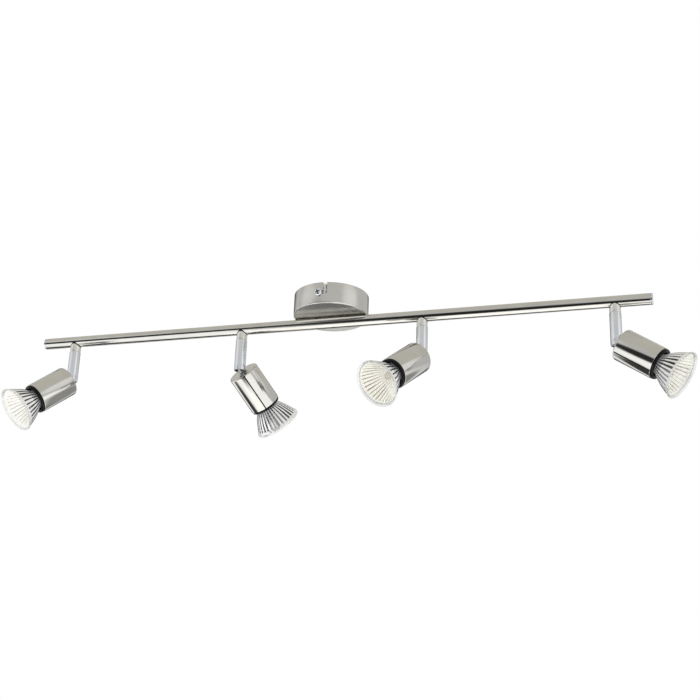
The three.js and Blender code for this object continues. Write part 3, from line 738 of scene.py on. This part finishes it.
def make_bracket():
    """A steel strip with both ends bent down, two long slots for ceiling screws and three round holes."""
    inside = BRACKET_REACH - BRACKET_THICKNESS
    strip = extrude(
        rounded([
            (-BRACKET_REACH, -BRACKET_EAR),
            (-BRACKET_REACH, 0, BRACKET_BEND),
            (BRACKET_REACH, 0, BRACKET_BEND),
            (BRACKET_REACH, -BRACKET_EAR),
            (inside, -BRACKET_EAR),
            (inside, -BRACKET_THICKNESS, BRACKET_BEND - BRACKET_THICKNESS),
            (-inside, -BRACKET_THICKNESS, BRACKET_BEND - BRACKET_THICKNESS),
            (-inside, -BRACKET_EAR),
        ]),
        -BRACKET_WIDTH / 2,
        BRACKET_WIDTH / 2,
    )
    bmesh.ops.transform(strip, matrix=turned(90, "X"), verts=strip.verts)
    near, far = CEILING_SLOT
    slot = extrude(
        arc(near, 0, CEILING_SLOT_HALF, 90, 270, 12) + arc(far, 0, CEILING_SLOT_HALF, -90, 90, 12),
        -2 * BRACKET_THICKNESS,
        BRACKET_THICKNESS,
    )
    other_slot = slot.copy()
    bmesh.ops.transform(other_slot, matrix=turned(180), verts=other_slot.verts)
    across = moved(0, 0, -SCREW_DEPTH) @ turned(90, "Y")
    screw_hole = rod(SCREW_HOLE_RADIUS, -CANOPY_RADIUS, CANOPY_RADIUS, across)
    earth_hole = rod(SCREW_HOLE_RADIUS, -5, 5, moved(EARTH_SCREW_X, 0, 0))
    # Painted light: the bracket takes the lighter zinc copy, to look lit inside the canopy.
    piece = put("bracket", strip, LIT_ZINC, turned(SCREW_ANGLE))
    carve(piece, slot, other_slot, screw_hole, earth_hole)
    soften(piece, 0.2)
    finish_piece(piece, "fixture", "zinc_steel", "ceiling_bracket")

    under = moved(EARTH_SCREW_X, 0, -BRACKET_THICKNESS - CLEARANCE)
    place = turned(SCREW_ANGLE) @ under @ turned(180, "X")
    piece = cross_head_screw("earthing_screw", BRACKET_THICKNESS, BRASS, place)
    finish_piece(piece, "fixture", "brass", "earth_screw")


def pole_cutters(x, radius):
    """A pole's wire hole, which runs across, and its screw well, which comes up from below."""
    wire_hole = rod(radius, -POLE_REACH - 1, POLE_REACH + 1, moved(x, 0, WIRE_HOLE_Z) @ turned(90, "X"))
    screw_well = rod(radius, POLE_BOTTOM - 1, WIRE_HOLE_Z, moved(x, 0, 0))
    return wire_hole, screw_well


def make_terminal_block():
    """Three round-ended poles on a spine. The spine's own holes are a little wider, to stay out of sight."""
    place = turned(SCREW_ANGLE + 90)
    end = 1.5 * POLE_PITCH
    centres = (-POLE_PITCH, 0, POLE_PITCH)
    spine = block((-end, -SPINE_HALF, SPINE_BOTTOM), (end, SPINE_HALF, SPINE_TOP))
    piece = put("terminal_spine", spine, WHITE, place)
    carve(piece, *[cutter for x in centres for cutter in pole_cutters(x, WIRE_HOLE_RADIUS + 0.2)])
    finish_piece(piece, "fixture", "white_plastic", "terminal_block")
    straight = POLE_REACH - POLE_RADIUS
    for number, x in enumerate(centres, 1):
        outline = arc(x, straight, POLE_RADIUS, 0, 180, 16) + arc(x, -straight, POLE_RADIUS, 180, 360, 16)
        pole = put(f"terminal_pole_{number}", extrude(outline, POLE_BOTTOM, POLE_TOP), WHITE, place)
        carve(pole, *pole_cutters(x, WIRE_HOLE_RADIUS))
        soften(pole, 0.25)
        finish_piece(pole, "fixture", "white_plastic")


# ---------------------------------------------------------------- bar

ALONG_BAR = moved(0, 0, BAR_AXIS_Z) @ turned(90, "Y")


def make_bar():
    inner = BAR_RADIUS - BAR_WALL
    half = BAR_HALF_LENGTH - CAP_THICKNESS - 0.1
    tube = revolve(rounded([
        (inner, -half),
        (BAR_RADIUS, -half, 0.25),
        (BAR_RADIUS, half, 0.25),
        (inner, half),
    ]))
    finish_piece(put("bar_body", tube, NICKEL, ALONG_BAR), "fixture", "nickel", "bar_tube")
    face = BAR_HALF_LENGTH
    seat = face - CAP_THICKNESS
    for side, name in ((0, "right"), (180, "left")):
        cap = revolve(rounded([
            (0, seat - CAP_PLUG_LENGTH),
            (CAP_PLUG_RADIUS, seat - CAP_PLUG_LENGTH, 0.3),
            (CAP_PLUG_RADIUS, seat),
            (BAR_RADIUS, seat, 0.2),
            (BAR_RADIUS, face, 0.6),
            (0, face),
        ]))
        place = moved(0, 0, BAR_AXIS_Z) @ turned(side) @ turned(90, "Y")
        finish_piece(put(f"bar_end_{name}", cap, CHROME, place), "fixture", "chrome", f"bar_cap_{name}")


def make_nipples():
    """The two hollow threaded nipples that join the bar to the canopy, and their nuts."""
    flange_top = NIPPLE_BOTTOM + 1.2
    thread = []
    for i in range(int((NIPPLE_TOP - NUT_BOTTOM) / THREAD_PITCH)):
        foot = NUT_BOTTOM + i * THREAD_PITCH
        thread += [(NIPPLE_RADIUS - 0.3, foot), (NIPPLE_RADIUS, foot + THREAD_PITCH / 2)]
    for x, name in ((-NIPPLE_X, "left"), (NIPPLE_X, "right")):
        place = moved(x, 0, BAR_AXIS_Z)
        tube = revolve(
            rounded([
                (NIPPLE_BORE, NIPPLE_BOTTOM),
                (NIPPLE_FLANGE, NIPPLE_BOTTOM, 0.2),
                (NIPPLE_FLANGE, flange_top, 0.2),
                (NIPPLE_RADIUS, flange_top),
                *thread,
                (NIPPLE_RADIUS - 0.4, NIPPLE_TOP),
                (NIPPLE_BORE, NIPPLE_TOP),
            ]),
            sides=SMALL_SIDES,
        )
        # Painted shade: the nipple takes the near-black zinc, which darkens the gap between bar and canopy.
        piece = put(f"nipple_{name}", tube, SHADED_ZINC, place)
        finish_piece(piece, "fixture", "zinc_steel", f"bar_nipple_{name}")
        corners = [turned(60 * i + NUT_TURN) @ Vector((NUT_RADIUS, 0, 0)) for i in range(6)]
        nut = extrude([(corner.x, corner.y) for corner in corners], NUT_BOTTOM, NUT_BOTTOM + NUT_HEIGHT)
        piece = put(f"nut_{name}", nut, BRASS, place)
        carve(piece, rod(NUT_BORE, NUT_BOTTOM - 1, NUT_BOTTOM + NUT_HEIGHT + 1))
        soften(piece, 0.3)
        finish_piece(piece, "fixture", "brass", f"nipple_nut_{name}")


# ---------------------------------------------------------------- collars and arms


def bar_cutter(inner, outer):
    """A rod or a tube along the bar's axis, which shapes the top of a collar."""
    cutter = revolve([(inner, -12), (outer, -12), (outer, 12), (inner, 12)])
    bmesh.ops.transform(cutter, matrix=turned(90, "Y"), verts=cutter.verts)
    return cutter


def make_collar(number):
    """The collar under the bar, and a thin black ring between the two: painted shade, a made-up washer that gives
    the dark line at the joint.
    """
    x = joints[f"swivel_{number}"]["pos_m"][0] / MM
    collar = revolve(rounded([
        (COLLAR_BORE, -COLLAR_BOTTOM),
        (COLLAR_RADIUS, -COLLAR_BOTTOM, 0.15),
        (COLLAR_RADIUS, 0),
        (COLLAR_BORE, 0),
    ]))
    piece = put(f"collar_{number}", collar, NICKEL_LUG, moved(x, 0, BAR_AXIS_Z))
    carve(piece, bar_cutter(0, BAR_RADIUS + SHADE_RING_THICKNESS))
    finish_piece(piece, "fixture", "nickel", f"swivel_collar_{number}")

    # Painted shade: this black ring stands for the dark line where collar and bar meet.
    ring = revolve(rounded([
        (COLLAR_BORE, -BAR_RADIUS - 1),
        (COLLAR_RADIUS + 0.1, -BAR_RADIUS - 1),
        (COLLAR_RADIUS + 0.1, -1),
        (COLLAR_BORE, -1),
    ]))
    seat = put(f"collar_shade_ring_{number}", ring, BLACK, moved(x, 0, BAR_AXIS_Z))
    carve(seat, bar_cutter(0, BAR_RADIUS + 0.05), bar_cutter(BAR_RADIUS + SHADE_RING_THICKNESS, 20))
    finish_piece(seat, "fixture", "black_plastic")


def make_arm(number):
    inner = ARM_RADIUS - ARM_WALL
    tube = revolve(rounded([
        (COLLAR_BORE, -ARM_TOP),
        (ARM_RADIUS, -ARM_TOP, 0.25),
        (ARM_RADIUS, -ARM_BOTTOM, 0.3),
        (inner, -ARM_BOTTOM, 0.3),
        (inner, -ARM_TOP - 2),
        (COLLAR_BORE, -ARM_TOP - 2),
    ]))
    piece = put(f"arm_{number}_shell", tube, CHROME, arm_place(number))
    slot = block((0, -ARM_SLOT_HALF, -ARM_BOTTOM - 1), (ARM_RADIUS + 1, ARM_SLOT_HALF, -ARM_SLOT_TOP))
    hole = PIN_RADIUS + 0.05
    drill = revolve([(0, -9), (hole, -9), (hole, 9), (0, 9)], sides=SMALL_SIDES)
    bmesh.ops.transform(drill, matrix=moved(0, 0, -PIVOT_DROP) @ turned(90, "X"), verts=drill.verts)
    carve(piece, slot, drill)
    finish_piece(piece, f"arm_{number}", "chrome", f"arm_tube_{number}")

    pin = revolve(rounded([
        (0, -PIN_HALF_LENGTH),
        (PIN_RADIUS, -PIN_HALF_LENGTH, 0.4),
        (PIN_RADIUS, PIN_HALF_LENGTH, 0.4),
        (0, PIN_HALF_LENGTH),
    ]), SMALL_SIDES)
    place = arm_place(number) @ moved(0, 0, -PIVOT_DROP) @ turned(90, "X")
    piece = put(f"tilt_pin_{number}", pin, CHROME, place)
    finish_piece(piece, f"arm_{number}", "zinc_steel", f"pivot_pin_{number}")


# ---------------------------------------------------------------- heads


def make_tongue(number):
    """Steel tongue on the pivot pin, bent out of the round foot behind the housing's back."""
    half = TONGUE_HALF_WIDTH
    outline = arc(0, 0, half, 0, 180, 24) + [(-half, -TONGUE_REACH), (half, -TONGUE_REACH)]
    plate = extrude(outline, -1, 1)
    bmesh.ops.transform(plate, matrix=turned(90, "X"), verts=plate.verts)
    piece = put(f"tongue_{number}", plate, ZINC, head_place(number))
    drill = revolve([(0, -4), (PIN_RADIUS + 0.2, -4), (PIN_RADIUS + 0.2, 4), (0, 4)], sides=SMALL_SIDES)
    bmesh.ops.transform(drill, matrix=turned(90, "X"), verts=drill.verts)
    carve(piece, drill)
    soften(piece, 0.2)
    finish_piece(piece, f"head_{number}", "zinc_steel", f"tilt_tongue_{number}")
    foot = revolve(forward(rounded([
        (0, FOOT_BACK),
        (FOOT_RADIUS, FOOT_BACK, 0.3),
        (FOOT_RADIUS, FOOT_FRONT, 0.3),
        (0, FOOT_FRONT),
    ])), SMALL_SIDES)
    foot_piece = put(f"tongue_foot_{number}", foot, ZINC, head_place(number))
    finish_piece(foot_piece, f"head_{number}", "zinc_steel")


def housing_slit(radius, height):
    """Half the width of the gap in the housing: the keyway across its back, the slit along its wall."""
    return KEYWAY_HALF if radius <= KEYWAY_REACH + 0.01 and -height < HOUSING_BACK + 2 else SLIT_HALF


def make_housing(number):
    inner = HOUSING_RADIUS - HOUSING_WALL
    roof = HOUSING_BACK + HOUSING_WALL
    profile = rounded([
        (KEYHOLE_RADIUS, HOUSING_BACK, 0.2),
        (KEYWAY_REACH, HOUSING_BACK),
        (HOUSING_RADIUS, HOUSING_BACK, HOUSING_CORNER),
        (HOUSING_RADIUS, HOUSING_FRONT, 0.3),
        (inner, HOUSING_FRONT, 0.3),
        (inner, roof, 0.4),
        (KEYWAY_REACH + 0.1, roof),
        (KEYWAY_REACH, roof),
        (KEYHOLE_RADIUS, roof, 0.2),
    ])
    can = revolve(forward(profile), slit=housing_slit)
    bmesh.ops.transform(can, matrix=turned(SLIT_ANGLE), verts=can.verts)
    piece = put(f"housing_can_{number}", can, NICKEL, head_place(number))
    finish_piece(piece, f"head_{number}", "nickel", f"housing_{number}")


def make_sleeve(number):
    profile = rounded([
        (SLEEVE_HOLE_RADIUS, SLEEVE_BACK, 0.2),
        (SLEEVE_RADIUS, SLEEVE_BACK, 0.4),
        (SLEEVE_RADIUS, SLEEVE_LIP_BACK),
        (SLEEVE_LIP_RADIUS, SLEEVE_LIP_BACK, 0.2),
        (SLEEVE_LIP_RADIUS, SLEEVE_FRONT, 1.6),
        (SLEEVE_MOUTH, SLEEVE_FRONT, 1.2),
        (SLEEVE_BORE, SLEEVE_LIP_BACK - 0.5),
        (SLEEVE_BORE, SLEEVE_BACK + SLEEVE_FLOOR),
        (SLEEVE_HOLE_RADIUS, SLEEVE_BACK + SLEEVE_FLOOR, 0.2),
    ])
    piece = put(f"sleeve_{number}", revolve(forward(profile)), BLACK, head_place(number))
    finish_piece(piece, f"head_{number}", "black_plastic", f"lampholder_sleeve_{number}")


# ---------------------------------------------------------------- lamps


def bowl_radius(distance):
    """Outer radius of the reflector's bowl, a parabola."""
    return math.sqrt(BOWL_SPREAD * (distance - BOWL_VERTEX))


def smoothstep(low_edge, high_edge, value):
    t = min(1.0, max(0.0, (value - low_edge) / (high_edge - low_edge)))
    return t * t * (3 - 2 * t)


def rib_offset(angle, radius, distance):
    """How far the ribs outside and the flutes inside move a point of the bowl inwards."""
    fade = smoothstep(BOWL_BACK, BOWL_BACK + 3, distance)
    fade *= 1 - smoothstep(LAMP_FRONT - LAMP_RIM - 2.5, LAMP_FRONT - LAMP_RIM - 0.3, distance)
    if fade == 0:
        return 0.0
    if radius > bowl_radius(distance) - LAMP_GLASS / 2:
        return fade * RIB_HEIGHT * abs(math.sin(OUTER_RIBS * angle / 2))
    return fade * FLUTE_DEPTH * abs(math.cos(INNER_RIBS * angle / 2)) - fade * FLUTE_DEPTH


def make_bowl(number):
    rim_back = LAMP_FRONT - LAMP_RIM
    steps = 16
    outside = []
    for i in range(steps + 1):
        distance = BOWL_BACK + (rim_back - BOWL_BACK) * i / steps
        outside.append((bowl_radius(distance), distance))
    inside = [(radius - LAMP_GLASS, distance) for radius, distance in reversed(outside)]
    profile = [
        (LAMP_NECK_BORE, LAMP_NECK_BACK),
        (LAMP_NECK_RADIUS, LAMP_NECK_BACK),
        (LAMP_NECK_RADIUS, BOWL_BACK - 3),
        *outside,
        *inside,
        (LAMP_NECK_RADIUS - LAMP_GLASS, BOWL_BACK - 3),
        (LAMP_NECK_RADIUS - LAMP_GLASS, LAMP_NECK_BACK + LAMP_GLASS),
        (LAMP_NECK_BORE, LAMP_NECK_BACK + LAMP_GLASS),
    ]
    mesh = revolve(forward(profile), sides=12 * OUTER_RIBS)
    for vertex in mesh.verts:
        point = vertex.co / MM
        radius = math.hypot(point.x, point.y)
        angle = math.atan2(point.y, point.x)
        shrink = 1 - rib_offset(angle, radius, -point.z) / radius
        vertex.co.x *= shrink
        vertex.co.y *= shrink
    piece = put(f"lamp_bowl_{number}", mesh, SILVERED_BACK, head_place(number))
    piece.data.materials.append(BRIGHT_BOWL)
    for face in piece.data.polygons:
        inward = face.normal.x * face.center.x + face.normal.y * face.center.y < 0
        face.material_index = 1 if inward else 0
    finish_piece(piece, f"lamp_{number}", "reflector_glass", f"lamp_reflector_{number}")

    rim = revolve(forward(rounded([
        (bowl_radius(rim_back) - LAMP_GLASS, rim_back + 0.05, 0.2),
        (bowl_radius(rim_back), rim_back + 0.05),
        (LAMP_RADIUS, rim_back + 0.9, 0.5),
        (LAMP_RADIUS, LAMP_FRONT, 0.7),
        (LENS_RADIUS + 0.3, LAMP_FRONT, 0.4),
        (LENS_RADIUS + 0.3, rim_back + 0.7),
        (bowl_radius(rim_back) - LAMP_GLASS, rim_back + 0.7),
    ])))
    piece = put(f"lamp_rim_{number}", rim, RIM_GLASS, head_place(number))
    finish_piece(piece, f"lamp_{number}", "lens_glass")


def make_lens(number):
    back = LAMP_FRONT - LAMP_RIM + 1.0
    profile = [
        (0, back),
        (LENS_RADIUS, back, 0.2),
        (LENS_RADIUS, LAMP_FRONT - 0.5, 0.3),
        (0, LAMP_FRONT - 0.1),
    ]
    piece = put(f"front_glass_{number}", revolve(forward(rounded(profile))), GLASS, head_place(number))
    finish_piece(piece, f"lamp_{number}", "lens_glass", f"lamp_lens_{number}")


def make_lamp_base(number):
    """Ceramic base with its two studs, and the quartz capsule that stands in the bowl."""
    place = head_place(number)
    shoulder = LAMP_NECK_BACK - CLEARANCE
    spigot_end = shoulder + LAMP_SPIGOT_LENGTH
    base = revolve(forward(rounded([
        (0, LAMP_BASE_BACK),
        (LAMP_BASE_RADIUS, LAMP_BASE_BACK, 0.6),
        (LAMP_BASE_RADIUS, shoulder, 0.3),
        (LAMP_SPIGOT_RADIUS, shoulder),
        (LAMP_SPIGOT_RADIUS, spigot_end, 0.5),
        (0, spigot_end),
    ])), SMALL_SIDES)
    piece = put(f"base_block_{number}", base, CERAMIC, place)
    finish_piece(piece, f"lamp_{number}", "ceramic", f"lamp_base_{number}")
    for side, x in (("a", -STUD_X), ("b", STUD_X)):
        stud = revolve(rounded([
            (0, -29.1),
            (STUD_SHANK_RADIUS, -29.1),
            (STUD_SHANK_RADIUS, -24.7),
            (STUD_HEAD_RADIUS, -24.7, 0.3),
            (STUD_HEAD_RADIUS, -22.2, 0.5),
            (0, -22.2),
        ]), SMALL_SIDES)
        bmesh.ops.translate(stud, verts=stud.verts, vec=(x * MM, 0, 0))
        finish_piece(put(f"stud_{side}_{number}", stud, ZINC, place), f"lamp_{number}", "zinc_steel")
    capsule = revolve(forward(rounded([
        (0, shoulder + 5.1),
        (3.4, shoulder + 5.1, 0.5),
        (3.4, shoulder + 9),
        (CAPSULE_RADIUS, shoulder + 11),
        (CAPSULE_RADIUS, CAPSULE_FRONT, 2.6),
        (0, CAPSULE_FRONT),
    ])), SMALL_SIDES)
    finish_piece(put(f"capsule_{number}", capsule, QUARTZ, place), f"lamp_{number}", "lens_glass")


# ---------------------------------------------------------------- CAD nodes that stay


def dress_nodes():
    """Gives every CAD node that stays in view its material."""
    by_slot = {
        "nickel": NICKEL,
        "chrome": CHROME,
        "zinc_steel": ZINC,
        "brass": BRASS,
        "black_plastic": BLACK,
        "white_plastic": WHITE,
        "ceramic": CERAMIC,
        "reflector_glass": BRIGHT_BOWL,
        "lens_glass": GLASS,
    }
    for part in frame["record"]["subparts"]:
        data = frame["nodes"][part["node"]].data
        data.materials.clear()
        nipple = part["node"].startswith("bar_nipple")
        # Painted shade: the nipple nodes take the near-black zinc.
        data.materials.append(SHADED_ZINC if nipple else by_slot[part["material_slot"]])


# ---------------------------------------------------------------- light, floor and camera


# The studio: two soft boxes, a grey wall, and four dark curtains that give polished metal its dark edges.
# Each is a large soft oval. Its middle stands at an azimuth (0 the front, 90 the right) and an elevation.
STUDIO_PANELS = (
    {"name": "left soft box", "light": 0.85, "at": (-60, 20), "half": (25, 15)},
    {"name": "right soft box", "light": 0.95, "at": (75, 20), "half": (25, 15)},
    {"name": "right back wall", "light": 0.35, "at": (140, -20), "half": (45, 15)},
    {"name": "front curtain", "light": 0.02, "at": (0, -30), "half": (25, 25)},
    {"name": "left front curtain", "light": 0.03, "at": (-30, -5), "half": (35, 15)},
    {"name": "low back curtain", "light": 0.05, "at": (-145, -40), "half": (60, 20)},
    {"name": "high back curtain", "light": 0.1, "at": (-160, 15), "half": (35, 25)},
)
PANEL_SOFTNESS = 0.3
FLOOR_DROP = 2.3  # in metres, as is the next
FLOOR_HALF = 1.1
FLOOR_LIGHT = 1.32
CEILING_LIGHT = 0.64


def panel_share(tree, azimuth, elevation, panel):
    """How far a direction lies inside a panel, from 0 to 1."""
    shares = []
    turn = math_node(tree, "SUBTRACT", azimuth, panel["at"][0])
    turn = math_node(tree, "WRAP", turn, 180.0, -180.0)
    rise = math_node(tree, "SUBTRACT", elevation, panel["at"][1])
    for value, half in ((turn, panel["half"][0]), (rise, panel["half"][1])):
        share = math_node(tree, "DIVIDE", value, half)
        shares.append(math_node(tree, "MULTIPLY", share, share))
    away = math_node(tree, "SQRT", math_node(tree, "ADD", *shares))
    return ease(tree, away, 1 + PANEL_SOFTNESS, 1 - PANEL_SOFTNESS)


def make_world():
    """A plain soft studio: bright below and grey above, with the panels round the object.

    The metal reflects the studio, and the camera sees plain white paper behind the object.
    """
    world = bpy.data.worlds.new("studio")
    bpy.context.scene.world = world
    world.use_nodes = True
    tree = world.node_tree
    tree.nodes.clear()
    coordinates = tree.nodes.new("ShaderNodeTexCoord")
    split = tree.nodes.new("ShaderNodeSeparateXYZ")
    tree.links.new(coordinates.outputs["Generated"], split.inputs["Vector"])
    to_front = math_node(tree, "MULTIPLY", split.outputs["Y"], -1.0)
    azimuth = math_node(tree, "DEGREES", math_node(tree, "ARCTAN2", split.outputs["X"], to_front))
    elevation = math_node(tree, "DEGREES", math_node(tree, "ARCSINE", split.outputs["Z"]))

    light = ease(tree, elevation, -10.0, 2.0, FLOOR_LIGHT, CEILING_LIGHT)
    for panel in STUDIO_PANELS:
        share = panel_share(tree, azimuth, elevation, panel)
        change = math_node(tree, "MULTIPLY", math_node(tree, "SUBTRACT", panel["light"], light), share)
        light = math_node(tree, "ADD", light, change)

    warmth = tree.nodes.new("ShaderNodeMix")
    warmth.data_type = "RGBA"
    warmth.inputs["A"].default_value = (1.0, 1.0, 1.0, 1.0)
    warmth.inputs["B"].default_value = (1.0, 0.975, 0.9, 1.0)
    tree.links.new(ease(tree, elevation, 22.0, 40.0), warmth.inputs["Factor"])
    studio = tree.nodes.new("ShaderNodeBackground")
    tree.links.new(warmth.outputs["Result"], studio.inputs["Color"])
    tree.links.new(light, studio.inputs["Strength"])
    paper = tree.nodes.new("ShaderNodeBackground")
    paper.inputs["Color"].default_value = (1.0, 1.0, 1.0, 1.0)
    path = tree.nodes.new("ShaderNodeLightPath")
    blend = tree.nodes.new("ShaderNodeMixShader")
    output = tree.nodes.new("ShaderNodeOutputWorld")
    tree.links.new(path.outputs["Is Camera Ray"], blend.inputs["Fac"])
    tree.links.new(studio.outputs["Background"], blend.inputs[1])
    tree.links.new(paper.outputs["Background"], blend.inputs[2])
    tree.links.new(blend.outputs["Shader"], output.inputs["Surface"])


def make_floor():
    """A plain pale floor well below the object, which gives off light so that no edge shows."""
    mesh = bmesh.new()
    corners = [(-1, -1), (1, -1), (1, 1), (-1, 1)]
    mesh.faces.new([mesh.verts.new((x * FLOOR_HALF, y * FLOOR_HALF, -FLOOR_DROP)) for x, y in corners])
    material, tree, shader, coordinates = new_material("pale_floor", own_frame=False)
    clouds = noise(tree, coordinates, (2.0, 2.0, 2.0), detail=2.0)
    tint(tree, clouds, shader.inputs["Base Color"], (0.86, 0.86, 0.85), (0.9, 0.9, 0.89))
    shader.inputs["Roughness"].default_value = 0.8
    shader.inputs["Emission Color"].default_value = (1, 1, 1, 1)
    shader.inputs["Emission Strength"].default_value = 1.0
    put("floor", mesh, material)


def make_camera():
    """The camera, placed by its direction, its distance and its shift to the side in millimetres."""
    azimuth = math.radians(CAMERA_AZIMUTH)
    elevation = math.radians(CAMERA_ELEVATION)
    roll = math.radians(CAMERA_ROLL)
    back = Vector((
        math.sin(azimuth) * math.cos(elevation),
        -math.cos(azimuth) * math.cos(elevation),
        math.sin(elevation),
    ))
    right = Vector((0, 0, 1)).cross(back).normalized()
    up = back.cross(right)
    data = bpy.data.cameras.new("camera")
    data.sensor_width = SENSOR_WIDTH
    data.lens = CAMERA_LENS
    camera = bpy.data.objects.new("camera", data)
    bpy.context.scene.collection.objects.link(camera)
    origin = (back * CAMERA_DISTANCE + right * CAMERA_RIGHT + up * CAMERA_UP) * MM
    rolled_right = math.cos(roll) * right + math.sin(roll) * up
    rolled_up = math.cos(roll) * up - math.sin(roll) * right
    camera.matrix_world = axes(rolled_right, rolled_up, back, origin)
    bpy.context.scene.camera = camera


# ---------------------------------------------------------------- scene

make_camera()
make_world()
make_floor()
dress_nodes()
make_canopy()
make_canopy_screws()
make_bracket()
make_terminal_block()
make_bar()
make_nipples()
for number in HEAD_NUMBERS:
    make_collar(number)
    make_arm(number)
    make_tongue(number)
    make_housing(number)
    make_sleeve(number)
    make_bowl(number)
    make_lens(number)
    make_lamp_base(number)
bpy.context.scene.view_settings.view_transform = "Standard"
